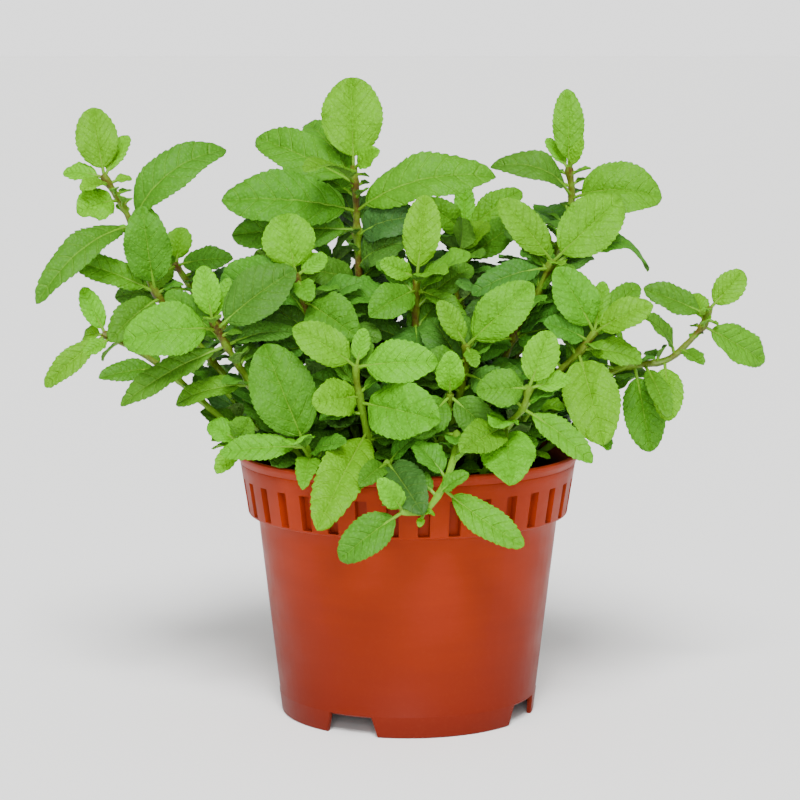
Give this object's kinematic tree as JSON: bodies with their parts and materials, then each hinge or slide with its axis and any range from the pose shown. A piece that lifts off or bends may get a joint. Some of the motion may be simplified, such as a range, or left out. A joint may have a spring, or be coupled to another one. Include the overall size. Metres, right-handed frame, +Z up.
{
  "type": "potted mint plant",
  "caption": "Bushy mint plant with toothed, paired leaves on square stems, in a round moulded nursery pot full of dark soil.",
  "frame": {"origin": "middle of the face that the pot stands on, on the pot's axis, which is also the middle of the bounding box in X and Y", "axes": "+X to the right as the plant is seen from its front, +Y to its back, +Z up along the pot's axis"},
  "size_m": [0.294, 0.1991, 0.259],
  "materials": {
    "pot_plastic": "satin moulded terracotta-coloured polypropylene",
    "potting_soil": "damp dark peat",
    "mint_green": "soft puckered leaf skin on green to reddish-brown stems"
  },
  "bodies": {
    "root": {"pot": "pot_plastic", "soil": "potting_soil", "shoot_back_left_high": "mint_green", "shoot_back_left_low": "mint_green", "shoot_back_left_side": "mint_green", "shoot_back_middle_left_high": "mint_green", "shoot_back_middle_left_low": "mint_green", "shoot_back_middle_low": "mint_green", "shoot_back_middle_right_high": "mint_green", "shoot_back_middle_right_low": "mint_green", "shoot_back_right_high": "mint_green", "shoot_back_right_low": "mint_green", "shoot_back_right_side": "mint_green", "shoot_behind_left": "mint_green", "shoot_behind_right": "mint_green", "shoot_centre_left": "mint_green", "shoot_centre_right": "mint_green", "shoot_centre_upright": "mint_green", "shoot_far_left_low": "mint_green", "shoot_far_left_top": "mint_green", "shoot_far_right": "mint_green", "shoot_front_centre": "mint_green", "shoot_front_left": "mint_green", "shoot_front_low_right": "mint_green", "shoot_front_right": "mint_green", "shoot_inner_left": "mint_green", "shoot_inner_right": "mint_green", "shoot_left_middle": "mint_green", "shoot_right_cluster": "mint_green", "shoot_right_middle": "mint_green", "shoot_right_top": "mint_green", "shoot_rim_back": "mint_green", "shoot_rim_back_left": "mint_green", "shoot_rim_back_right": "mint_green", "shoot_rim_front": "mint_green", "shoot_rim_left": "mint_green", "shoot_tall_middle": "mint_green", "shoot_trailing": "mint_green"}
  },
  "joints": []
}
